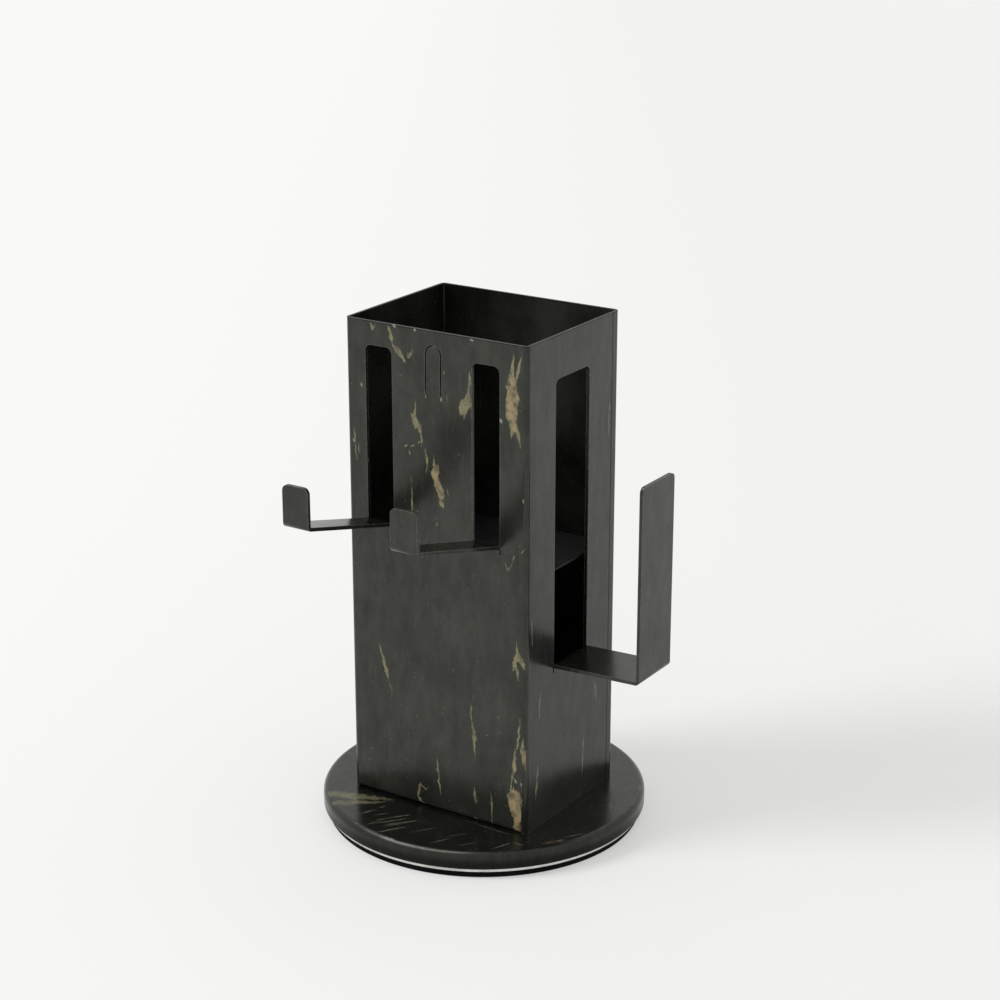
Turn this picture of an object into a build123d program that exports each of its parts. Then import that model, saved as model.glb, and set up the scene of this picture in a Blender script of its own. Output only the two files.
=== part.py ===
from build123d import *
from math import cos, radians, sqrt, tan
import os

# Rotating desk organizer in millimetres, Z up, front wall towards -Y, cradle wall towards +X.
# The origin is the centre of the foot's underside. A folded sheet-steel column stands on a
# drawn cap, which turns on a ball ring and a centre stud over a thin base plate.

# Column sheet and walls
sheet = 1.5
bend_inner = 0.5
column_width = 84.0
column_depth = 67.5
column_height = 200.7
seam_return = 5.0
flange_depth = 16.0
flange_corner = 3.0
relief_width = 0.6
relief_height = 2.4

# Lanced tabs: two hooks in the front wall and one cradle in the right wall
kerf = 0.25
lip_corner = 2.5
notch_width = 0.9
notch_depth = 1.6
notch_corner = 0.8
hook_width = 12.0
hook_pitch = 49.6
hook_shift = -1.5
hook_window_drop = 9.6
hook_reach = 54.5
hook_rise = 14.5
hook_lip = 16.2
cradle_width = 24.5
cradle_shift = -1.0
cradle_window_drop = 17.4
cradle_reach = 38.6
cradle_rise = 2.0
cradle_lip = 80.0

# Slit tongue between the two front windows
tongue_width = 6.4
tongue_slit = 0.6
tongue_length = 20.0
tongue_drop = 5.6
tongue_shift = -0.7

# Inner floor that the upright things stand on, just below the front windows
floor_sheet = 1.0
floor_bend = 0.8
floor_below_windows = 12.0
floor_skirt = 10.0
floor_relief = 4.5
floor_relief_corner = 1.0
floor_window_gap = 3.0

# Foot pad and base plate
foot_thickness = 3.0
foot_setback = 2.0
foot_edge = 0.4
plate_thickness = 1.2
plate_setback = 1.0
access_hole = 10.0

# Drawn cap
cap_diameter = 134.0
cap_sheet = 1.2
cap_edge = 2.6
running_gap = 0.4

# Ball ring between base plate and cap
ring_inset = 10.5
ball_diameter = 4.76
ball_count = 16
ball_play = 0.05
race_sheet = 1.2
race_width = 9.0
groove_depth = 0.6
groove_relief = 0.32
cage_width = 7.0
cage_clearance = 0.8
pocket_play = 0.15

# Centre stud, bush, washer and lock nut
spigot_diameter = 7.0
stud_flange = 13.0
stud_flange_thickness = 1.4
journal_diameter = 8.0
thread_diameter = 5.9
thread_overrun = 1.2
thread_chamfer = 0.8
journal_play = 0.08
axial_play = 0.1
fit_play = 0.05
bush_wall = 1.5
bush_flange = 17.0
bush_flange_thickness = 1.0
bush_tail = 0.6
pivot_washer_diameter = 18.0
pivot_washer_thickness = 1.4
nut_flats = 10.0
nut_hex_height = 4.6
nut_collar_height = 1.4
nut_collar_diameter = 9.0
nut_chamfer = 0.5

# Screws that hold the column down on the cap
screw_inset_x = 14.0
screw_inset_y = 9.0
screw_diameter = 3.9
screw_hole = 4.5
screw_head = 7.6
screw_head_height = 2.2
screw_socket = 2.5
screw_socket_depth = 1.3
screw_overrun = 1.5
screw_washer = 9.0
screw_washer_thickness = 0.8
clinch_body = 7.9
clinch_height = 2.2
clinch_spigot = 5.3

# Heights of the stack, from the desk up
plate_top = foot_thickness + plate_thickness
race_gap = ball_diameter - 2 * groove_depth + 2 * ball_play
ball_height = plate_top + race_sheet + race_gap / 2
cage_thickness = race_gap - 2 * cage_clearance
groove_radius = ball_diameter / 2 + groove_relief
cap_under = plate_top + 2 * race_sheet + race_gap
cap_top = cap_under + cap_sheet
skirt_low = plate_top + running_gap
column_top = cap_top + column_height
bush_top = cap_top + bush_flange_thickness
washer_low = bush_top + axial_play
nut_low = washer_low + pivot_washer_thickness
thread_top = nut_low + nut_hex_height + nut_collar_height + thread_overrun
head_top = cap_under - screw_washer_thickness
screw_top = cap_top + sheet + clinch_height + screw_overrun

# Values that follow from the sheet
bend_mid = bend_inner + sheet / 2
bend_outer = bend_inner + sheet
front_mid = -column_depth / 2 + sheet / 2
right_mid = column_width / 2 - sheet / 2
inside_width = column_width - 2 * sheet
inside_depth = column_depth - 2 * sheet
seam_y = column_depth / 2 - seam_return
screw_x = column_width / 2 - screw_inset_x
screw_y = column_depth / 2 - screw_inset_y
flange_hole = clinch_spigot + 2 * fit_play
bush_barrel = journal_diameter + 2 * journal_play + 2 * bush_wall
foot_diameter = cap_diameter - 2 * foot_setback
plate_diameter = cap_diameter - 2 * plate_setback
ring_diameter = cap_diameter - 2 * ring_inset

os.makedirs("parts", exist_ok=True)


def ring(outer, inner, low, high):
    """Flat ring between two heights, from its two diameters."""
    face = Circle(outer / 2) - Circle(inner / 2)
    return Pos(0, 0, low) * extrude(face, high - low)


def rod(diameter, low, high):
    """Round bar on the Z axis between two heights."""
    return Pos(0, 0, low) * extrude(Circle(diameter / 2), high - low)


def at_screws(shape):
    """Four copies of a shape, one on each screw axis."""
    return [Pos(x, y) * shape for x in (-screw_x, screw_x) for y in (-screw_y, screw_y)]


def column_tube():
    """Closed column section with bent corners, from the cap to the rim."""
    outer = RectangleRounded(column_width, column_depth, bend_outer)
    inner = RectangleRounded(inside_width, inside_depth, bend_inner)
    return Pos(0, 0, cap_top) * extrude(outer - inner, column_height)


def beyond_seam():
    """Block that holds everything behind the two butt seams."""
    block = Box(2 * column_width, column_depth, 2 * column_height)
    return Pos(0, seam_y + column_depth / 2, cap_top + column_height / 2) * block


def folded_strip(path, width):
    """Strip of column sheet that follows its mid-plane path, centred across it."""
    start = Plane(origin=path @ 0, x_dir=(1, 0, 0), z_dir=path % 0)
    return sweep(start * Rectangle(sheet, width), path=path)


def bottom_flange(wall_side):
    """Inward flange on the front (-1) or back (+1) wall's foot, and the cut that frees it."""
    reach_in = flange_depth - sheet / 2
    width = column_width - 2 * (bend_outer + relief_width)
    path = FilletPolyline((0, relief_height), (0, sheet / 2), (reach_in, sheet / 2), radius=bend_mid)
    strip = folded_strip(path, width)
    free_end = strip.edges().group_by(Axis.X)[-1].filter_by(Axis.Y)
    strip = fillet(free_end, flange_corner)
    wall = Plane(
        origin=(0, wall_side * -front_mid, cap_top),
        x_dir=(0, -wall_side, 0),
        z_dir=(-wall_side, 0, 0),
    )
    strip = wall * strip
    for hole in at_screws(rod(flange_hole, cap_top - sheet, cap_top + 2 * sheet)):
        strip -= hole
    cut = Pos(0, wall_side * -front_mid, cap_top + relief_height / 2)
    return strip, cut * Box(width + 2 * relief_width, 2 * sheet, relief_height)


def tab_route(reach, rise, lip):
    """Mid-plane of a tab: up its root, out and rising, then up the lip."""
    knee = notch_depth + bend_mid * tan(radians(90 - rise) / 2)
    heel = knee + reach * tan(radians(rise))
    return FilletPolyline((0, 0), (0, knee), (reach, heel), (reach, heel + lip), radius=bend_mid)


def tab_root(route, window_drop):
    """Height of a tab's root: its flat blank reaches from there to the top of its window."""
    return column_top - window_drop - kerf - route.length


def lanced_tab(wall, route, width):
    """Folded tab, and the window that its flat blank leaves in the wall above the root."""
    tab = folded_strip(route, width)
    tab = fillet(tab.edges().group_by(Axis.Y)[-1].filter_by(Axis.X), lip_corner)
    flat = Plane(origin=(0, 0, 0), x_dir=(0, 0, 1), z_dir=(-1, 0, 0))
    blank = Rectangle(width + 2 * kerf, route.length + kerf, align=(Align.CENTER, Align.MIN))
    blank = fillet(blank.vertices().group_by(Axis.Y)[-1], lip_corner + kerf)
    notches = Pos(0, notch_depth) * RectangleRounded(
        width + 2 * notch_width, 2 * notch_depth, notch_corner
    )
    window = extrude(flat * (blank + notches), sheet, both=True)
    return wall * tab, wall * window


def tongue_cut():
    """Inverted U slit that frees a flush tongue in the front wall."""
    outer_width = tongue_width + 2 * tongue_slit
    legs = tongue_length - outer_width / 2
    base = Rectangle(outer_width, legs, align=(Align.CENTER, Align.MIN))
    core = Rectangle(tongue_width, legs, align=(Align.CENTER, Align.MIN))
    crown = Pos(0, legs) * (Circle(outer_width / 2) - Circle(tongue_width / 2))
    crown -= Rectangle(outer_width, legs, align=(Align.CENTER, Align.MIN))
    tongue_root = column_top - tongue_drop - tongue_length
    wall = Plane(origin=(tongue_shift, front_mid, tongue_root), x_dir=(1, 0, 0), z_dir=(0, -1, 0))
    return extrude(wall * (base - core + crown), sheet, both=True)


hook_route = tab_route(hook_reach, hook_rise, hook_lip)
floor_top = tab_root(hook_route, hook_window_drop) - floor_below_windows


def column_wrap():
    """Front and side walls in one folded sheet, with both hooks and the cradle."""
    wrap = column_tube() - beyond_seam()
    flange, freed = bottom_flange(-1)
    wrap = wrap - freed + flange - tongue_cut()
    root = tab_root(hook_route, hook_window_drop)
    for side in (-1, 1):
        x = hook_shift + side * hook_pitch / 2
        wall = Plane(origin=(x, front_mid, root), x_dir=(0, -1, 0), z_dir=(-1, 0, 0))
        tab, window = lanced_tab(wall, hook_route, hook_width)
        wrap = wrap - window + tab
    route = tab_route(cradle_reach, cradle_rise, cradle_lip)
    root = tab_root(route, cradle_window_drop)
    wall = Plane(origin=(right_mid, cradle_shift, root), x_dir=(1, 0, 0), z_dir=(0, -1, 0))
    tab, window = lanced_tab(wall, route, cradle_width)
    return wrap - window + tab


def column_back():
    """Back wall as a channel whose returns butt against the wrap."""
    flange, freed = bottom_flange(1)
    return (column_tube() & beyond_seam()) - freed + flange


def inner_floor():
    """Pressed tray with four skirts welded to the walls, open at its corners and at the side window."""
    tray = Pos(0, 0, floor_top - floor_skirt / 2) * Box(inside_width, inside_depth, floor_skirt)
    tray = fillet(tray.edges().group_by(Axis.Z)[-1], floor_sheet + floor_bend)
    hollow = Pos(0, 0, floor_top - floor_sheet - floor_skirt / 2)
    core = Box(inside_width - 2 * floor_sheet, inside_depth - 2 * floor_sheet, floor_skirt)
    tray -= hollow * fillet(core.edges().group_by(Axis.Z)[-1], floor_bend)
    square = RectangleRounded(2 * floor_relief, 2 * floor_relief, floor_relief_corner)
    corner = extrude(square, 3 * floor_skirt, both=True)
    for x in (-inside_width / 2, inside_width / 2):
        for y in (-inside_depth / 2, inside_depth / 2):
            tray -= Pos(x, y, floor_top) * corner
    gap = Box(4 * floor_sheet, cradle_width + 2 * floor_window_gap, 4 * floor_skirt)
    return tray - Pos(inside_width / 2, cradle_shift, floor_top) * gap


def driver_way():
    """Hole through foot and plate by which a driver reaches each screw in turn."""
    screw_circle = sqrt(screw_x**2 + screw_y**2)
    return Pos(0, -screw_circle) * rod(access_hole, -1, plate_top + 1)


def foot_pad():
    """Rubber disc with a chamfered lower edge and the driver's hole."""
    pad = rod(foot_diameter, 0, foot_thickness)
    return chamfer(pad.edges().group_by(Axis.Z)[0], foot_edge) - driver_way()


def base_plate():
    """Thin disc with the stud's hole and the driver's hole."""
    plate = ring(plate_diameter, spigot_diameter + 2 * fit_play, foot_thickness, plate_top)
    return plate - driver_way()


def base_cap():
    """Drawn cap: a flat top, a rounded edge and a short skirt, in one revolved section."""
    outer = cap_diameter / 2
    inner = bush_barrel / 2 + fit_play
    section = Polyline((inner, cap_under), (inner, cap_top), (outer, cap_top), (outer, skirt_low))
    section += Polyline((outer, skirt_low), (outer - cap_sheet, skirt_low), (outer - cap_sheet, cap_under))
    section += Line((outer - cap_sheet, cap_under), (inner, cap_under))
    face = make_face(section)
    top_corner = face.vertices().sort_by_distance((outer, cap_top))[0]
    face = fillet(top_corner, cap_edge)
    under_corner = face.vertices().sort_by_distance((outer - cap_sheet, cap_under))[0]
    face = fillet(under_corner, cap_edge - cap_sheet)
    cap = revolve(Plane.XZ * face, Axis.Z)
    for hole in at_screws(rod(screw_hole, cap_under - 1, cap_top + 1)):
        cap -= hole
    return cap


def race(low, groove_side):
    """Grooved ring; groove_side is +1 with the groove on top and -1 with it underneath."""
    middle = ring_diameter / 2
    open_face = low + (race_sheet if groove_side > 0 else 0)
    centre = open_face + groove_side * (groove_radius - groove_depth)
    section = Pos(middle, low + race_sheet / 2) * Rectangle(race_width, race_sheet)
    section -= Pos(middle, centre) * Circle(groove_radius)
    return revolve(Plane.XZ * section, Axis.Z)


def ball_cage():
    """Flat retainer with one round pocket for each ball."""
    cage = ring(ring_diameter + cage_width, ring_diameter - cage_width, 0, cage_thickness)
    pocket = rod(ball_diameter + 2 * pocket_play, -1, cage_thickness + 1)
    for place in PolarLocations(ring_diameter / 2, ball_count):
        cage -= place * pocket
    return Pos(0, 0, ball_height - cage_thickness / 2) * cage


def bearing_balls():
    """Loose steel balls, one in each pocket."""
    ball = Pos(0, 0, ball_height) * Sphere(ball_diameter / 2)
    places = PolarLocations(ring_diameter / 2, ball_count)
    return Compound(children=[place * ball for place in places])


def pivot_stud():
    """Turned stud: riveted spigot, flange, plain journal and threaded end."""
    flange_top = plate_top + stud_flange_thickness
    stud = rod(spigot_diameter, foot_thickness, plate_top) + rod(stud_flange, plate_top, flange_top)
    stud += rod(journal_diameter, flange_top, washer_low)
    end = rod(thread_diameter, washer_low, thread_top)
    return stud + chamfer(end.edges().group_by(Axis.Z)[-1], thread_chamfer)


def pivot_bush():
    """Flanged plastic bush that the cap turns on."""
    bore = journal_diameter + 2 * journal_play
    bush = ring(bush_barrel, bore, cap_under - bush_tail, cap_top)
    return bush + ring(bush_flange, bore, cap_top, bush_top)


def pivot_nut():
    """Hexagon lock nut with a round collar."""
    hexagon = RegularPolygon(nut_flats / 2, 6, major_radius=False)
    body = Pos(0, 0, nut_low) * extrude(hexagon, nut_hex_height)
    across_corners = nut_flats / cos(radians(30))
    blank = rod(across_corners, nut_low, nut_low + nut_hex_height)
    body &= chamfer(blank.edges().filter_by(GeomType.CIRCLE), nut_chamfer)
    collar_low = nut_low + nut_hex_height
    body += rod(nut_collar_diameter, collar_low, collar_low + nut_collar_height)
    return body - rod(thread_diameter + 2 * fit_play, nut_low - 1, collar_low + 2 * nut_collar_height)


def column_screw():
    """Button-head screw that points up, with a hexagon socket underneath."""
    sphere_radius = (screw_head**2 / 4 + screw_head_height**2) / (2 * screw_head_height)
    dome = Pos(0, 0, head_top - screw_head_height + sphere_radius) * Sphere(sphere_radius)
    head = dome & rod(screw_head, head_top - screw_head_height, head_top)
    socket = Pos(0, 0, head_top - screw_head_height) * extrude(
        RegularPolygon(screw_socket / 2, 6, major_radius=False), screw_socket_depth
    )
    shank = rod(screw_diameter, head_top, screw_top)
    return head - socket + chamfer(shank.edges().group_by(Axis.Z)[-1], thread_chamfer / 2)


def clinch_nut():
    """Round nut pressed into the column's flange from above."""
    flange_top = cap_top + sheet
    bore = screw_diameter + 2 * fit_play
    body = ring(clinch_body, bore, flange_top, flange_top + clinch_height)
    return body + ring(clinch_spigot, bore, cap_top, flange_top)


pieces = {
    "foot_pad": foot_pad(),
    "base_plate": base_plate(),
    "lower_race": race(plate_top, 1),
    "ball_cage": ball_cage(),
    "bearing_balls": bearing_balls(),
    "upper_race": race(cap_under - race_sheet, -1),
    "base_cap": base_cap(),
    "pivot_stud": pivot_stud(),
    "pivot_bush": pivot_bush(),
    "pivot_washer": ring(pivot_washer_diameter, thread_diameter + 2 * fit_play, washer_low, nut_low),
    "pivot_nut": pivot_nut(),
    "column_wrap": column_wrap(),
    "column_back": column_back(),
    "inner_floor": inner_floor(),
    "column_screws": Compound(children=at_screws(column_screw())),
    "column_washers": Compound(children=at_screws(ring(screw_washer, screw_hole, head_top, cap_under))),
    "clinch_nuts": Compound(children=at_screws(clinch_nut())),
}

for name, piece in pieces.items():
    export_step(piece, f"parts/{name}.step")

print("height", round(column_top, 2), "cap top", round(cap_top, 2), "floor top", round(floor_top, 2))
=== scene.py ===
from math import cos, hypot, radians, sin
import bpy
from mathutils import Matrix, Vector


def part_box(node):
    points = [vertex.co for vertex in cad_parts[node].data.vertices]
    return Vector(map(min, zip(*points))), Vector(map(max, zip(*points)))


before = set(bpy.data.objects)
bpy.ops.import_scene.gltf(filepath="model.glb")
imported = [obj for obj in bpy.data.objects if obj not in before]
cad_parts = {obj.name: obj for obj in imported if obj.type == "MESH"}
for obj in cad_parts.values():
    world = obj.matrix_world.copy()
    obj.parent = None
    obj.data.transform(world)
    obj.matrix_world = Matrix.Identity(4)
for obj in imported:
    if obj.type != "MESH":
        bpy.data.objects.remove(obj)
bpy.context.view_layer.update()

from types import SimpleNamespace

import bpy
from mathutils import Euler, Vector

# Rotating desk organizer: finishes, floor, lights and camera around the fixed frame. Metres, Z up.
MM_PER_M = 1000.0

# The photograph's camera, fitted to the column's corners and the base
LENS_MM = 82.76
SENSOR_MM = 36.0
CAMERA_PLACE = (0.4802, -0.7287, 0.4344)
CAMERA_TURN_DEG = (71.06, 0.0, 32.95)


def frame_mm(length):
    """A length of the frame in millimetres, to a hundredth."""
    return round(length * MM_PER_M, 2)


# Column and cap in millimetres, as the paint needs them
wrap_low, wrap_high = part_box("column_wrap")
HALF_WIDTH = frame_mm(-wrap_low.x)
HALF_DEPTH = frame_mm(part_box("column_back")[1].y)
SEAM_Y = frame_mm(wrap_high.y)
RIM = frame_mm(wrap_high.z)
CAP_TOP = frame_mm(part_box("base_cap")[1].z)
SHEET = 1.5
CAP_EDGE = 2.6

# Limits of the paint's zones, in millimetres outward from a wall's outer face or up from the cap's top
SKIN_FROM, SKIN_FULL = -0.7 * SHEET, -0.5 * SHEET
TABS_FROM, TABS_FULL = 0.2, 0.4
FRONT_INNER, FRONT_OUTER, FRONT_SOFT = -0.7, 0.3, 0.1
RIGHT_FROM, RIGHT_FULL = -0.8, -0.5
TOP_FROM, TOP_FULL = -0.5, -0.3

# Widths of the rim's dull strip and of the seam's dark line, in millimetres
RIM_STRIP = 0.6
SEAM_LINE = 0.8

# How far noise bends a face's veins, in millimetres: in wide waves and in fine ones
WALL_BENDS = (3.0, 1.4)
CHIP_BENDS = (0.6, 1.2)
CAP_BENDS = (1.2, 0.5)
WAVES = (0.06, 0.32)

# Noise that tears the veins' sides: cells per millimetre across and along, its spread and its mean
WALL_TEARS = (0.45, 0.16, 1.0)
CHIP_TEARS = (0.6, 0.6, 1.0)
CAP_TEARS = (0.3, 0.3, 1.0)
CAP_TEAR_SHARE = 0.6
TEAR_SPREAD = 3.0
TEAR_MEAN = -0.1

# How far inside a stroke, in millimetres, its colour starts and is full
VEIN_EDGE = (0.0, 0.3)
TAN_CORE = (0.5, 1.1)
CHIP_EDGE = (0.0, 0.25)
SMOKE_EDGE = (-0.6, 1.6)
SMUDGE_EDGE = (-0.3, 1.0)
LINE_EDGE = (-0.1, 0.5)

# Paint colours, linear
BLACK = (0.004, 0.004, 0.0034)
CHARCOAL = (0.0165, 0.0166, 0.0142)
# The cap's blacks, darker than the column's same paint: painted shade on the cap
CAP_SHADED_BLACK = (0.0018, 0.0018, 0.0016)
CAP_SHADED_CHARCOAL = (0.0055, 0.0055, 0.005)
TAN = (0.25, 0.182, 0.1)
OLIVE = (0.155, 0.142, 0.076)
UMBER = (0.076, 0.062, 0.037)
SCORED_LINE = (0.078, 0.077, 0.055)
# Light colour of scratches, dust and worn edges, also used as a painted highlight along every edge
WORN_AND_HIGHLIGHT = (0.15, 0.147, 0.13)
CHIP = (0.17, 0.17, 0.15)
GLOSS_TINT = (0.97, 1.0, 0.87)

# Noises of the paint: cells per millimetre, octaves of detail, roughness
CLOUDS = (0.035, 4.0, 0.6)
VEIN_SHADES = (0.32, 3.0, 0.55)
CHIPPING = (0.8, 4.0, 0.7)
SMEARS = (0.06, 4.0, 0.6)
HANDLING = (0.22, 5.0, 0.72)
PAINT_GRAIN = (2.4, 2.0, 0.5)

# Made-up veins, in parts of the noise whose ridges they follow: least half width, and what swelling adds
LEAST_VEIN = 0.013
VEIN_SWELLING = 0.05

# How strongly scratches, dust, bands, smears and edges show in the paint
MARKS_IN_COLOUR = 0.16
DUST_IN_COLOUR = 0.5
SMOKE_IN_COLOUR = 0.72
SMUDGES_IN_COLOUR = 0.4
# Share of the light colour on every edge, chipped or not: a painted edge highlight
LEAST_EDGE_WEAR_AND_HIGHLIGHT = 0.35
RIM_SPARED = 0.75
SMEARS_IN_ROUGHNESS = 0.2
VEINS_IN_ROUGHNESS = 0.12
MARKS_IN_ROUGHNESS = 0.08
EDGES_IN_ROUGHNESS = 0.22
MARKS_IN_HEIGHT = -0.3
PAINT_BUMP_MM = 0.03
PAINT_BUMP_STRENGTH = 0.6

# The same on the plain finishes, and how much brighter than the light colour their edges are painted: partly
# wear, partly a painted highlight
PLAIN_MARKS_IN_COLOUR = 0.25
PLAIN_MARKS_IN_ROUGHNESS = 0.06
PLAIN_UNEVENNESS = 0.2
PLAIN_BUMP_STRENGTH = 0.7
EDGE_GAIN = 1.6
EDGE_LIFT = 0.02

# Specular level of the paint, how much of it the rim and the seam lose, and how far handling varies it
INSIDE_POLISH = 0.3
OUTSIDE_POLISH = 0.51
RIM_DULLING = 0.3
SEAM_DULLING = 0.7
CAP_SIDE_POLISH = 0.14
CAP_TOP_POLISH = 0.52
HANDLING_SPREAD = 1.25

# Edges: radius of the rounded normal in millimetres, and its cosine to the face on the flat and on an edge
PAINT_EDGE_RADIUS = 0.5
PLAIN_EDGE_RADIUS = 0.3
FLAT_COSINE = 0.97
EDGE_COSINE = 0.86

# Plain finishes: linear colours, and the grain in cells per millimetre and millimetres of depth
PLAIN_FINISHES = {
    "inner_paint": {
        # Both colours darkened as painted shade, for the things that stand on this floor inside the column
        "base": (0.004, 0.004, 0.004),
        "light": (0.01, 0.01, 0.0095),
        "rough": 0.62,
        "grain_scale": 1.6,
        "grain_mm": 0.03,
        "shine": 0.22,
    },
    "plate_steel": {
        "base": (0.55, 0.55, 0.53),
        "light": (0.78, 0.78, 0.75),
        "rough": 0.28,
        "metallic": 1.0,
        "grain_scale": 2.0,
        "grain_mm": 0.01,
        "stretch": (1.0, 1.0, 9.0),
    },
    "bearing_steel": {
        "base": (0.42, 0.42, 0.42),
        "light": (0.6, 0.6, 0.58),
        "rough": 0.32,
        "metallic": 1.0,
        "grain_scale": 1.2,
        "grain_mm": 0.012,
    },
    "ball_chrome": {
        "base": (0.66, 0.66, 0.66),
        "light": (0.82, 0.82, 0.82),
        "rough": 0.12,
        "metallic": 1.0,
        "grain_scale": 0.8,
        "grain_mm": 0.002,
    },
    "fastener_steel": {
        "base": (0.5, 0.5, 0.47),
        "light": (0.68, 0.68, 0.64),
        "rough": 0.36,
        "metallic": 1.0,
        "grain_scale": 1.5,
        "grain_mm": 0.01,
    },
    "nylon": {
        "base": (0.7, 0.68, 0.6),
        "light": (0.82, 0.8, 0.73),
        "rough": 0.5,
        "grain_scale": 1.2,
        "grain_mm": 0.02,
    },
    "foot_rubber": {
        "base": (0.0015, 0.0015, 0.0015),
        "light": (0.004, 0.004, 0.004),
        "rough": 0.7,
        "grain_scale": 2.2,
        "grain_mm": 0.05,
        "shine": 0.06,
    },
}

# Each carried-over piece's material slot
SLOTS = {
    "column_wrap": "marbled_paint",
    "column_back": "marbled_paint",
    "base_cap": "marbled_paint",
    "inner_floor": "inner_paint",
    "base_plate": "plate_steel",
    "lower_race": "bearing_steel",
    "upper_race": "bearing_steel",
    "bearing_balls": "ball_chrome",
    "ball_cage": "nylon",
    "pivot_bush": "nylon",
    "pivot_stud": "fastener_steel",
    "pivot_washer": "fastener_steel",
    "pivot_nut": "fastener_steel",
    "column_screws": "fastener_steel",
    "column_washers": "fastener_steel",
    "clinch_nuts": "fastener_steel",
    "foot_pad": "foot_rubber",
}

# Broken edges in millimetres, on the pieces whose edges are seen
BROKEN_EDGES = {
    "column_wrap": 0.2,
    "column_back": 0.2,
    "inner_floor": 0.15,
    "base_plate": 0.15,
    "foot_pad": 0.3,
}
WELD_MM = 0.01
BROKEN_EDGE_DEG = 40

# Floor in metres, and its own faint glow at two places across the picture
FLOOR_HALF = 12.0
FLOOR_DROP = 0.00005
FLOOR_COLOUR = (0.45, 0.4515, 0.444)
GLOW_COLOUR = (1.0, 1.0, 0.99)
GLOW_LEFT, GLOW_LEFT_STRENGTH = -0.25, 0.442
GLOW_RIGHT, GLOW_RIGHT_STRENGTH = 0.2, 0.384

# White surround
SURROUND_COLOUR = (0.96, 0.965, 0.955)
SURROUND_STRENGTH = 0.8


class Maker:
    """Short calls that add nodes to one material and link them."""

    def __init__(self, tree):
        self.tree = tree

    def feed(self, socket, value):
        """Link a socket to another socket, or set it to a constant."""
        if isinstance(value, bpy.types.NodeSocket):
            self.tree.links.new(value, socket)
        elif socket.type == "RGBA":
            socket.default_value = (*value, 1.0)
        else:
            socket.default_value = value

    def node(self, kind, inputs, **settings):
        """A node with its settings; inputs maps socket names or numbers to values."""
        node = self.tree.nodes.new(kind)
        for name, value in settings.items():
            setattr(node, name, value)
        for key, value in inputs.items():
            self.feed(node.inputs[key], value)
        return node

    def math(self, operation, *values, clamp=False):
        """Result of one scalar operation."""
        inputs = dict(enumerate(values))
        return self.node("ShaderNodeMath", inputs, operation=operation, use_clamp=clamp).outputs[0]

    def times(self, *values):
        """Product of several values."""
        total = values[0]
        for value in values[1:]:
            total = self.math("MULTIPLY", total, value)
        return total

    def scaled(self, value, factor, offset):
        """A value times a factor, plus an offset."""
        return self.math("MULTIPLY_ADD", value, factor, offset)

    def largest(self, *values):
        """Largest of several values."""
        total = values[0]
        for value in values[1:]:
            total = self.math("MAXIMUM", total, value)
        return total

    def step(self, value, low, high):
        """Smooth rise from 0 at low to 1 at high; low may be the larger."""
        inputs = {"Value": value, "From Min": low, "From Max": high}
        return self.node("ShaderNodeMapRange", inputs, interpolation_type="SMOOTHSTEP").outputs[0]

    def band(self, value, low, high, soft):
        """1 between two limits and 0 outside them."""
        rise = self.step(value, low - soft, low + soft)
        fall = self.step(value, high + soft, high - soft)
        return self.times(rise, fall)

    def vector(self, operation, *values):
        """Result of one vector operation."""
        inputs = dict(enumerate(values))
        node = self.node("ShaderNodeVectorMath", inputs, operation=operation)
        return node.outputs["Value" if operation == "DOT_PRODUCT" else "Vector"]

    def stretch(self, point, factors):
        """A point with each part multiplied by its own factor."""
        return self.vector("MULTIPLY", point, factors)

    def noise(self, point, scale, detail=2.0, rough=0.5, warp=0.0):
        """Noise about 0.5 over a point in millimetres; scale is in cells per millimetre."""
        inputs = {"Vector": point, "Scale": scale, "Detail": detail, "Roughness": rough, "Distortion": warp}
        return self.node("ShaderNodeTexNoise", inputs).outputs[0]

    def mix(self, factor, first, second):
        """Mix of two colours."""
        node = self.node("ShaderNodeMix", {}, data_type="RGBA")
        for index, value in ((0, factor), (6, first), (7, second)):
            self.feed(node.inputs[index], value)
        return node.outputs[2]

    def place(self):
        """Place on the piece in millimetres, in its own fixed frame."""
        inputs = {0: self.node("ShaderNodeTexCoord", {}).outputs["Object"], "Scale": MM_PER_M}
        return self.node("ShaderNodeVectorMath", inputs, operation="SCALE").outputs["Vector"]

    def edge(self, radius_mm):
        """1 on outer and inner edges, from how far a rounded normal leans away from the face."""
        rounded = self.node("ShaderNodeBevel", {"Radius": radius_mm / MM_PER_M}, samples=4)
        flat = self.node("ShaderNodeNewGeometry", {})
        lean = self.vector("DOT_PRODUCT", rounded.outputs[0], flat.outputs["Normal"])
        return self.step(lean, FLAT_COSINE, EDGE_COSINE)


def new_material(name):
    """A node material, its maker and its shader."""
    material = bpy.data.materials.new(name)
    material.use_nodes = True
    tree = material.node_tree
    return material, Maker(tree), tree.nodes["Principled BSDF"]


def add_bump(make, shader, height, distance_mm, strength):
    """Bump on the shader's normal."""
    inputs = {"Height": height, "Distance": distance_mm / MM_PER_M, "Strength": strength}
    make.feed(shader.inputs["Normal"], make.node("ShaderNodeBump", inputs).outputs[0])


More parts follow.
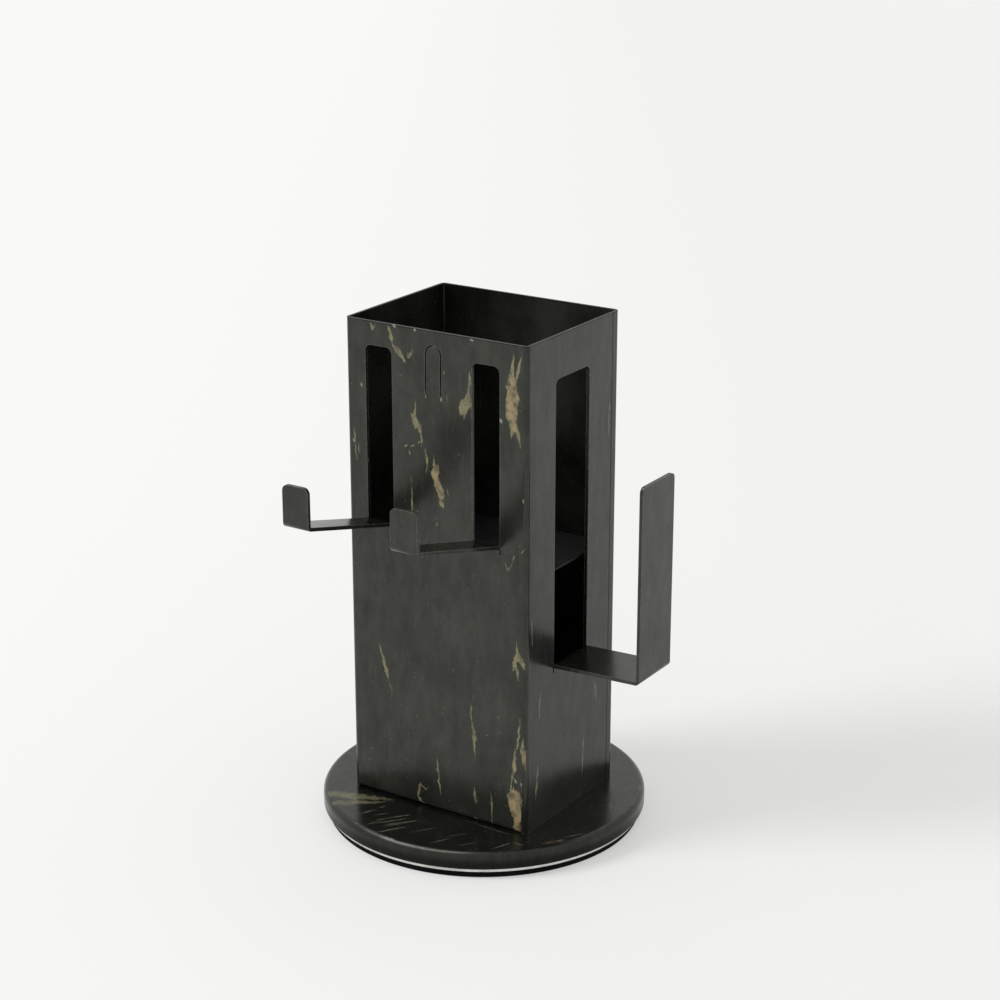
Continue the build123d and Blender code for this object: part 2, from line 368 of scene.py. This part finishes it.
def vein(make, point, ragged, start, end, half_width):
    """How far inside one marble vein a point lies, in millimetres, with torn sides and thin ends."""
    span = hypot(end[0] - start[0], end[1] - start[1])
    along = ((end[0] - start[0]) / span, (end[1] - start[1]) / span)
    centre = ((start[0] + end[0]) / 2, (start[1] + end[1]) / 2, 0.0)
    offset = make.vector("SUBTRACT", point, centre)
    lengthwise = make.vector("DOT_PRODUCT", offset, (along[0] * 2 / span, along[1] * 2 / span, 0.0))
    across = make.math("ABSOLUTE", make.vector("DOT_PRODUCT", offset, (-along[1], along[0], 0.0)))
    profile = make.scaled(make.times(lengthwise, lengthwise), -1.0, 1.0)
    room = make.math("ADD", profile, ragged)
    return make.scaled(room, half_width, make.times(across, -1.0))


def veins(make, point, ragged, parts):
    """How far inside the nearest of several veins a point lies; each is merged once it is made."""
    total = vein(make, point, ragged, *parts[0])
    for part in parts[1:]:
        total = make.largest(total, vein(make, point, ragged, *part))
    return total


def warped(make, u, v, bends):
    """A face's two coordinates as a point, bent by noise so that straight veins wander."""
    flat = make.node("ShaderNodeCombineXYZ", {0: u, 1: v}).outputs[0]
    point = flat
    for scale, amount in zip(WAVES, bends):
        noise = make.node("ShaderNodeTexNoise", {"Vector": flat, "Scale": scale, "Detail": 2.0})
        centred = make.vector("SUBTRACT", noise.outputs["Color"], (0.5, 0.5, 0.5))
        point = make.vector("ADD", point, make.stretch(centred, (amount, amount, 0.0)))
    return point


def ragged_noise(make, point, factors):
    """Noise near zero, drawn out along the veins, that tears their sides."""
    noise = make.noise(make.stretch(point, factors), scale=1.0, detail=4.0, rough=0.68)
    return make.scaled(noise, TEAR_SPREAD, TEAR_MEAN - TEAR_SPREAD / 2)


def front_veins(make, x, z):
    """Broad and narrow veins of the front wall, placed from the photograph; (x, z) in millimetres."""
    point = warped(make, x, z, WALL_BENDS)
    ragged = ragged_noise(make, point, WALL_TEARS)
    broad = (
        # tall vein beside the near corner, with its forks and tails
        ((34.8, 203), (35.8, 177), 3.1),
        ((33.2, 193), (34.6, 178), 1.5),
        ((35.8, 193), (37.6, 181), 1.6),
        ((35.8, 209.6), (35.0, 196), 0.85),
        ((39.2, 208.4), (36.2, 194), 0.9),
        ((36.2, 184), (39.2, 171.8), 0.8),
        ((35.2, 185), (34.4, 174.8), 0.8),
        # foot of the same corner
        ((36.2, 33), (37.8, 13), 2.8),
        ((39.3, 30), (38.2, 15), 1.7),
        ((37.4, 20), (38.6, 3), 1.8),
        ((40.0, 54), (41.2, 38), 1.3),
        ((38.6, 65), (37.2, 44), 0.6),
        ((37.4, 52), (34.6, 27), 0.8),
        # middle of the wall
        ((-0.8, 163), (3.2, 141), 2.3),
        ((1.8, 156), (1.6, 146), 1.6),
    )
    narrow = (
        # chain of short ones above the middle
        ((-5.2, 165), (-2.4, 155), 0.8),
        ((-3.6, 160), (-3.9, 155), 0.5),
        ((-11.6, 178.6), (-6.6, 171.2), 1.9),
        ((-8.6, 176.4), (-7.0, 170.8), 1.0),
        ((-9.2, 184), (-9.8, 176), 0.6),
        ((-6.4, 172), (-6.9, 165), 0.6),
        ((-14.6, 163.6), (-12.6, 165.0), 0.55),
        ((-11.9, 164.6), (-9.6, 166.2), 0.5),
        ((-12.4, 163.2), (-11.7, 160.4), 0.55),
        ((-8.9, 166.2), (-6.6, 168.0), 0.5),
        # beside the right window
        ((16.8, 200), (15.4, 184), 0.8),
        ((15.9, 192), (13.0, 179.6), 2.1),
        ((12.8, 188), (11.6, 180.4), 1.5),
        # below the rim, between the left window and the tongue
        ((-21.6, 212), (-18.4, 204.4), 1.1),
        ((-19.6, 206.0), (-13.4, 197.0), 1.0),
        ((-13.8, 198.0), (-9.4, 204.4), 0.65),
        ((-17.0, 205.2), (-14.9, 199.0), 0.5),
        ((-12.9, 198.6), (-12.0, 203.4), 0.4),
        ((-29.8, 211.4), (-28.6, 208.2), 0.9),
        ((-28.6, 209.0), (-27.4, 211.0), 0.5),
        # right edge, below half height
        ((37.4, 95), (38.4, 86), 0.8),
        ((38.7, 92), (35.9, 80), 1.1),
        ((38.3, 90), (41.3, 82.4), 1.4),
        ((36.3, 89), (38.7, 77), 0.8),
        # left edge, dim
        ((-38.6, 169), (-37.8, 153), 0.5),
        ((-36.9, 162), (-36.4, 156), 0.4),
        # thin ones on the lower half
        ((-29.6, 81), (-21.8, 58), 0.8),
        ((15.4, 64), (19.0, 34), 0.75),
        ((17.0, 53), (18.4, 43), 1.2),
        ((-0.8, 37), (1.6, 16), 0.8),
        ((-10.6, 14.6), (-3.8, 8.0), 0.9),
        ((-8.4, 21.6), (-10.6, 12.6), 0.8),
        ((-8.8, 20.4), (-5.8, 18.2), 0.6),
        ((16.8, 27), (17.9, 18), 0.7),
        ((25.3, 26), (25.9, 10), 0.6),
        # hooked scratches between the right window's foot and the corner
        ((31.6, 125.6), (32.8, 121.8), 0.42),
        ((32.8, 121.9), (34.2, 123.9), 0.4),
        ((36.9, 129.6), (35.7, 126.0), 0.4),
        ((35.8, 126.2), (34.2, 122.9), 0.45),
        ((38.6, 129.8), (41.4, 132.2), 0.35),
        # fine lines between the windows
        ((5.1, 151.2), (6.3, 146.4), 0.4),
        ((-11.2, 154), (-12.0, 132), 0.45),
        ((5.4, 189), (5.7, 184), 0.3),
    )
    return [veins(make, point, ragged, group) for group in (broad, narrow)]


def side_veins(make, y, z):
    """Thin veins of the right wall; (y, z) in millimetres."""
    point = warped(make, y, z, WALL_BENDS)
    ragged = ragged_noise(make, point, WALL_TEARS)
    thin = (
        ((-23.6, 70), (-23.8, 56), 0.7),
        ((-24.6, 42), (-26.8, 22), 0.8),
        ((9.9, 39), (9.3, 17), 0.7),
        ((27.4, 178), (26.2, 160), 0.5),
        ((19.0, 60), (20.6, 48), 0.7),
        ((-30.6, 104), (-29.4, 90), 0.6),
    )
    return veins(make, point, ragged, thin)


def front_chips(make, x, z):
    """Small pale chips of the front wall; (x, z) in millimetres."""
    point = warped(make, x, z, CHIP_BENDS)
    ragged = ragged_noise(make, point, CHIP_TEARS)
    chips = (
        # beside the tall vein, and near the foot
        ((29.8, 182.6), (30.4, 180.2), 0.75),
        ((35.8, 35.4), (38.4, 32.6), 0.5),
        ((39.6, 34.4), (40.3, 31.4), 0.4),
        ((17.0, 12.8), (19.2, 12.0), 0.6),
        # along the rim
        ((-19.8, 211.9), (-17.4, 211.3), 0.7),
        ((-9.9, 211.9), (-8.4, 211.4), 0.6),
        ((16.2, 211.8), (18.2, 211.1), 0.6),
        # at the slit's ends and beside it
        ((-4.5, 187.6), (-4.0, 185.0), 0.45),
        ((2.7, 187.4), (3.0, 184.6), 0.45),
        ((4.3, 197.6), (4.6, 195.6), 0.5),
        # here and there
        ((-34.6, 186.8), (-34.2, 184.6), 0.55),
        ((-39.0, 163.6), (-38.6, 161.4), 0.45),
        ((0.3, 135.6), (0.8, 133.4), 0.45),
        ((40.0, 152.8), (40.2, 150.6), 0.4),
    )
    return veins(make, point, ragged, chips)


def cap_veins(make, x, y):
    """Smoky bands, brown smudges and thin lines of the cap's top, placed one by one; (x, y) in millimetres.
    """
    point = warped(make, x, y, CAP_BENDS)
    ragged = make.times(ragged_noise(make, point, CAP_TEARS), CAP_TEAR_SHARE)
    smoky = (
        # in front of the column's left corner
        ((-57.0, -50.5), (-19.5, -36.5), 3.2),
        ((-53.0, -62.0), (-20.0, -38.5), 2.4),
        # behind the column and left of it
        ((-10.0, 50.0), (14.0, 60.0), 2.2),
        ((-59.0, 4.0), (-48.0, 26.0), 2.4),
    )
    smudges = (
        ((50.6, -36.4), (57.8, -27.6), 1.3),
        ((53.4, 14.0), (60.0, 2.0), 0.9),
    )
    lines = (
        # in front of the column's left half, slanting alike
        ((-25.6, -55.2), (-20.8, -46.8), 0.7),
        ((-21.6, -46.4), (-19.6, -42.6), 0.6),
        ((-14.0, -51.6), (-6.0, -42.8), 0.65),
        ((-17.2, -57.2), (-10.8, -49.0), 0.55),
        ((-15.4, -59.2), (-4.6, -45.0), 0.6),
        ((-11.4, -59.4), (-2.0, -47.8), 0.55),
        ((-12.0, -58.0), (0.4, -44.2), 0.65),
        ((-10.2, -64.8), (-1.2, -52.4), 0.75),
        ((-17.4, -61.6), (-13.2, -54.0), 0.5),
        ((-19.6, -53.4), (-14.6, -46.4), 0.45),
        # further right, finer
        ((13.2, -60.6), (19.0, -50.8), 0.45),
        ((14.2, -54.8), (22.8, -43.4), 0.4),
        ((1.2, -57.2), (9.8, -45.6), 0.4),
        ((22.8, -57.4), (30.2, -47.8), 0.4),
        ((36.6, -51.6), (41.2, -41.2), 0.6),
        ((40.6, -41.9), (46.9, -41.2), 0.5),
        ((12.0, -35.8), (41.0, -36.6), 0.4),
        ((54.2, -29.0), (62.0, -17.0), 0.4),
        # behind the column
        ((-44.0, 40.0), (-30.0, 52.0), 0.6),
        ((30.0, 46.0), (44.0, 38.0), 0.5),
    )
    return [veins(make, point, ragged, group) for group in (smoky, smudges, lines)]


def free_veins(make, point, factors, rarity):
    """Whole veins and their broad cores for the faces that the photograph doesn't show."""
    bent = make.stretch(point, factors)
    ridges = make.noise(bent, scale=0.045, detail=3.0, rough=0.55, warp=0.6)
    from_ridge = make.math("ABSOLUTE", make.math("SUBTRACT", ridges, 0.5))
    swell = make.step(make.noise(bent, scale=0.11, detail=1.0), 0.52, 0.68)
    inside = make.math("SUBTRACT", make.scaled(swell, VEIN_SWELLING, LEAST_VEIN), from_ridge)
    present = make.step(make.noise(bent, scale=0.03, detail=1.0), rarity, rarity + 0.05)
    torn = make.step(make.noise(bent, scale=0.35, detail=3.0), 0.42, 0.5)
    shown = make.times(present, torn)
    whole = make.times(make.step(inside, 0.0, 0.007), shown)
    core = make.times(make.step(inside, 0.014, 0.022), shown)
    return whole, core


def scratches(make, point, factors, rarity):
    """Fine scratches along one direction, each a short run."""
    lines = make.noise(make.stretch(point, factors), scale=1.0, detail=2.0, rough=0.6)
    runs = make.noise(point, scale=0.05, detail=2.0)
    return make.times(make.step(lines, rarity, rarity + 0.05), make.step(runs, 0.42, 0.62))


def specks(make, point, scale, rarity):
    """Small specks, scattered by noise."""
    return make.step(make.noise(point, scale, detail=1.0), rarity, rarity + 0.03)


def column_faces(make, x, y):
    """Masks of the column's outside, front wall, right wall and the walls that the photograph hides."""
    beyond_x = make.math("SUBTRACT", make.math("ABSOLUTE", x), HALF_WIDTH)
    beyond_y = make.math("SUBTRACT", make.math("ABSOLUTE", y), HALF_DEPTH)
    beyond = make.largest(beyond_x, beyond_y)
    outside = make.step(beyond, SKIN_FROM, SKIN_FULL)
    skin = make.times(outside, make.step(beyond, TABS_FULL, TABS_FROM))
    front = make.band(y, -HALF_DEPTH - FRONT_OUTER, -HALF_DEPTH - FRONT_INNER, FRONT_SOFT)
    front = make.times(front, skin)
    right = make.times(make.step(x, HALF_WIDTH + RIGHT_FROM, HALF_WIDTH + RIGHT_FULL), skin)
    hidden = make.math("SUBTRACT", skin, make.largest(front, right), clamp=True)
    return outside, front, right, hidden


def column_look(make, point):
    """What the column's paint shows and where: colours, veins, chips, scratches, worn edges with a painted
    highlight, and gloss.
    """
    x, y, z = make.node("ShaderNodeSeparateXYZ", {0: point}).outputs
    outside, front, right, hidden = column_faces(make, x, y)
    broad, narrow = front_veins(make, x, z)
    whole, core = free_veins(make, point, factors=(1.0, 1.0, 0.4), rarity=0.5)
    tan = make.times(make.step(broad, *TAN_CORE), front)
    fringe = make.times(make.step(make.largest(broad, narrow), *VEIN_EDGE), front)
    thin = make.times(make.step(side_veins(make, y, z), *VEIN_EDGE), right)
    rim = make.step(z, RIM - RIM_STRIP, RIM - RIM_STRIP / 2)
    seam = make.band(y, SEAM_Y - SEAM_LINE / 2, SEAM_Y + SEAM_LINE / 2, SEAM_LINE / 4)
    polish = make.scaled(outside, OUTSIDE_POLISH - INSIDE_POLISH, INSIDE_POLISH)
    polish = make.scaled(rim, -RIM_DULLING, polish)
    spared = make.largest(make.times(rim, RIM_SPARED), seam)
    upright = scratches(make, point, factors=(2.2, 2.2, 0.045), rarity=0.66)
    level = scratches(make, point, factors=(0.5, 0.5, 1.3), rarity=0.74)
    return SimpleNamespace(
        dark=BLACK,
        light=CHARCOAL,
        tan=make.largest(tan, make.times(core, hidden)),
        olive=make.largest(fringe, thin, make.times(whole, hidden)),
        lines=0.0,
        chips=make.times(make.step(front_chips(make, x, z), *CHIP_EDGE), front),
        marks=make.largest(upright, level),
        edge_wear_and_highlight=make.math("SUBTRACT", 1.0, spared),
        polish=make.times(polish, make.scaled(seam, -SEAM_DULLING, 1.0)),
        rough=0.16,
        grain=0.22,
    )


def cap_look(make, point):
    """What the cap's paint shows and where: colours darkened as painted shade, veins, chips, scratches, worn
    edges with a painted highlight, and gloss.
    """
    x, y, z = make.node("ShaderNodeSeparateXYZ", {0: point}).outputs
    top = make.step(z, CAP_TOP + TOP_FROM, CAP_TOP + TOP_FULL)
    side = make.math("SUBTRACT", 1.0, top)
    smoky, smudges, lines = cap_veins(make, x, y)
    smoke = make.times(make.step(smoky, *SMOKE_EDGE), SMOKE_IN_COLOUR, top)
    free = free_veins(make, point, factors=(1.0, 1.0, 1.0), rarity=0.66)[0]
    height = make.step(z, CAP_TOP - 2 * CAP_EDGE, CAP_TOP)
    inward = scratches(make, point, factors=(1.6, 0.06, 1.0), rarity=0.68)
    sideways = scratches(make, point, factors=(0.07, 1.4, 1.0), rarity=0.7)
    return SimpleNamespace(
        # darker copies of the column's blacks: painted shade on the cap
        dark=CAP_SHADED_BLACK,
        light=CAP_SHADED_CHARCOAL,
        tan=make.times(make.step(smudges, *SMUDGE_EDGE), SMUDGES_IN_COLOUR, top),
        olive=make.largest(smoke, make.times(free, side)),
        lines=make.times(make.step(lines, *LINE_EDGE), top),
        chips=make.times(specks(make, point, scale=0.35, rarity=0.8), side),
        marks=make.largest(inward, sideways),
        edge_wear_and_highlight=1.0,
        polish=make.scaled(height, CAP_TOP_POLISH - CAP_SIDE_POLISH, CAP_SIDE_POLISH),
        rough=0.14,
        grain=0.12,
    )


def paint(name, look_of):
    """Satin black paint with olive-gold marbling; look_of gives what differs from piece to piece."""
    material, make, shader = new_material(name)
    point = make.place()
    look = look_of(make, point)
    edge = make.edge(PAINT_EDGE_RADIUS)

    colour = make.mix(make.step(make.noise(point, *CLOUDS), 0.3, 0.75), look.dark, look.light)
    shade = make.step(make.noise(point, *VEIN_SHADES), 0.3, 0.62)
    colour = make.mix(look.olive, colour, make.mix(shade, UMBER, OLIVE))
    colour = make.mix(look.tan, colour, make.mix(shade, UMBER, TAN))
    colour = make.mix(look.lines, colour, SCORED_LINE)
    colour = make.mix(make.times(look.marks, MARKS_IN_COLOUR), colour, WORN_AND_HIGHLIGHT)
    dust = specks(make, point, scale=0.9, rarity=0.76)
    colour = make.mix(make.times(dust, DUST_IN_COLOUR), colour, WORN_AND_HIGHLIGHT)
    # Edges take the light colour: worn where the noise chips them, and elsewhere still a painted highlight;
    # mostly spared at the rim and seam
    chips_and_edge_highlight = make.step(make.noise(point, *CHIPPING), 0.46, 0.6)
    chips_and_edge_highlight = make.scaled(chips_and_edge_highlight, 1.0 - LEAST_EDGE_WEAR_AND_HIGHLIGHT, LEAST_EDGE_WEAR_AND_HIGHLIGHT)
    colour = make.mix(make.times(edge, chips_and_edge_highlight, look.edge_wear_and_highlight), colour, WORN_AND_HIGHLIGHT)
    make.feed(shader.inputs["Base Color"], make.mix(look.chips, colour, CHIP))

    rough = make.scaled(make.noise(point, *SMEARS), SMEARS_IN_ROUGHNESS, look.rough)
    rough = make.scaled(make.largest(look.tan, look.olive), VEINS_IN_ROUGHNESS, rough)
    rough = make.scaled(look.marks, MARKS_IN_ROUGHNESS, rough)
    make.feed(shader.inputs["Roughness"], make.scaled(edge, EDGES_IN_ROUGHNESS, rough))
    handled = make.noise(make.stretch(point, (1.0, 1.0, 0.35)), *HANDLING)
    handled = make.scaled(handled, HANDLING_SPREAD, 1.0 - HANDLING_SPREAD / 2)
    make.feed(shader.inputs["Specular IOR Level"], make.times(look.polish, handled))
    make.feed(shader.inputs["Specular Tint"], GLOSS_TINT)

    grain = make.times(make.noise(point, *PAINT_GRAIN), look.grain)
    height = make.scaled(look.marks, MARKS_IN_HEIGHT, grain)
    add_bump(make, shader, height, PAINT_BUMP_MM, PAINT_BUMP_STRENGTH)
    return material


def plain(
    name, base, light, rough, grain_scale, grain_mm, metallic=0.0, stretch=(1.0, 1.0, 1.0), shine=0.5
):
    """One-colour material with mottling, edges painted brighter (partly wear, partly a painted highlight),
    uneven sheen and a fine grain.
    """
    material, make, shader = new_material(name)
    point = make.place()
    drawn = make.stretch(point, stretch)
    marks = make.step(make.noise(drawn, scale=1.3, detail=3.0, rough=0.65), 0.62, 0.72)
    edge = make.times(make.edge(PLAIN_EDGE_RADIUS), make.noise(point, scale=1.1, detail=3.0))
    lit_and_worn_edge = tuple(min(1.0, part * EDGE_GAIN + EDGE_LIFT) for part in light)

    mottle = make.step(make.noise(point, scale=0.12, detail=4.0, rough=0.6), 0.3, 0.7)
    colour = make.mix(mottle, base, light)
    colour = make.mix(make.times(marks, PLAIN_MARKS_IN_COLOUR), colour, light)
    # Edges painted brighter in step with the shine: partly wear, partly a painted highlight
    make.feed(shader.inputs["Base Color"], make.mix(make.times(edge, shine), colour, lit_and_worn_edge))

    uneven = make.noise(point, scale=0.3, detail=4.0, rough=0.6)
    uneven = make.scaled(uneven, PLAIN_UNEVENNESS, rough - PLAIN_UNEVENNESS / 2)
    make.feed(shader.inputs["Roughness"], make.scaled(marks, PLAIN_MARKS_IN_ROUGHNESS, uneven))
    shader.inputs["Metallic"].default_value = metallic
    shader.inputs["Specular IOR Level"].default_value = shine

    grain = make.noise(drawn, grain_scale, detail=3.0, rough=0.6)
    height = make.scaled(marks, MARKS_IN_HEIGHT, grain)
    add_bump(make, shader, height, grain_mm, PLAIN_BUMP_STRENGTH)
    return material


def break_edges(piece, width_mm):
    """Narrow bevel on a piece's sharp edges, once the corners that its faces share are joined."""
    weld = piece.modifiers.new("weld", "WELD")
    weld.merge_threshold = WELD_MM / MM_PER_M
    bevel = piece.modifiers.new("broken_edges", "BEVEL")
    bevel.width = width_mm / MM_PER_M
    bevel.segments = 2
    bevel.limit_method = "ANGLE"
    bevel.angle_limit = radians(BROKEN_EDGE_DEG)
    bevel.harden_normals = True


def dress():
    """Give every carried-over piece its finish, and slightly broken edges to the pieces whose edges are
    seen.
    """
    finishes = {slot: plain(slot, **finish) for slot, finish in PLAIN_FINISHES.items()}
    finishes["marbled_paint"] = paint("marbled_column", column_look)
    special = {"base_cap": paint("marbled_cap", cap_look)}
    for node, slot in SLOTS.items():
        piece = bpy.data.objects[node]
        piece.data.materials.clear()
        piece.data.materials.append(special.get(node, finishes[slot]))
        if node in BROKEN_EDGES:
            break_edges(piece, BROKEN_EDGES[node])


def make_camera():
    """Camera at the photograph's viewing angle."""
    data = bpy.data.cameras.new("view_camera")
    data.lens = LENS_MM
    data.sensor_width = SENSOR_MM
    data.clip_start = 0.01
    camera = bpy.data.objects.new("view_camera", data)
    camera.location = CAMERA_PLACE
    camera.rotation_euler = Euler([radians(angle) for angle in CAMERA_TURN_DEG])
    bpy.context.collection.objects.link(camera)
    bpy.context.scene.camera = camera


def sun(name, towards, spread_deg, strength):
    """Distant soft light that shines along a direction and leaves no glare."""
    data = bpy.data.lights.new(name, "SUN")
    data.angle = radians(spread_deg)
    data.energy = strength
    light = bpy.data.objects.new(name, data)
    light.visible_glossy = False
    light.rotation_euler = Vector(towards).to_track_quat("-Z", "Y").to_euler()
    bpy.context.collection.objects.link(light)


def soft_box(name, place, aim, size, power):
    """Rectangular soft light that faces a point and is seen in the gloss only."""
    data = bpy.data.lights.new(name, "AREA")
    data.shape = "RECTANGLE"
    data.size, data.size_y = size
    data.energy = power
    light = bpy.data.objects.new(name, data)
    light.visible_diffuse = False
    light.location = place
    light.rotation_euler = (Vector(aim) - Vector(place)).to_track_quat("-Z", "Y").to_euler()
    bpy.context.collection.objects.link(light)


def floor_paint():
    """Pale matte floor with a faint glow of its own, brighter towards the left of the picture."""
    material, make, shader = new_material("floor_white")
    place = make.node("ShaderNodeTexCoord", {}).outputs["Object"]
    turn = radians(CAMERA_TURN_DEG[2])
    inputs = {
        "Value": make.vector("DOT_PRODUCT", place, (cos(turn), sin(turn), 0.0)),
        "From Min": GLOW_LEFT,
        "From Max": GLOW_RIGHT,
        "To Min": GLOW_LEFT_STRENGTH,
        "To Max": GLOW_RIGHT_STRENGTH,
    }
    make.feed(shader.inputs["Emission Strength"], make.node("ShaderNodeMapRange", inputs).outputs[0])
    make.feed(shader.inputs["Emission Color"], GLOW_COLOUR)
    make.feed(shader.inputs["Base Color"], FLOOR_COLOUR)
    shader.inputs["Roughness"].default_value = 0.8
    shader.inputs["Specular IOR Level"].default_value = 0.1
    return material


def make_floor():
    """Wide flat floor, just under the foot."""
    ways = ((-1, -1), (1, -1), (1, 1), (-1, 1))
    corners = [(x * FLOOR_HALF, y * FLOOR_HALF, -FLOOR_DROP) for x, y in ways]
    mesh = bpy.data.meshes.new("floor")
    mesh.from_pydata(corners, [], [(0, 1, 2, 3)])
    mesh.materials.append(floor_paint())
    floor = bpy.data.objects.new("floor", mesh)
    bpy.context.collection.objects.link(floor)


def make_studio():
    """Pale floor, an even white surround, one soft light from the left and a soft box overhead."""
    world = bpy.data.worlds.new("studio")
    bpy.context.scene.world = world
    world.use_nodes = True
    background = world.node_tree.nodes["Background"]
    background.inputs["Color"].default_value = (*SURROUND_COLOUR, 1.0)
    background.inputs["Strength"].default_value = SURROUND_STRENGTH
    bpy.context.scene.view_settings.view_transform = "Standard"
    make_floor()
    sun("main_light", towards=(0.66, 0.68, -0.62), spread_deg=24.0, strength=2.0)
    soft_box("overhead", place=(-0.53, -0.17, 1.33), aim=(0.0, 0.0, 0.05), size=(1.0, 0.8), power=11.0)


dress()
make_camera()
make_studio()
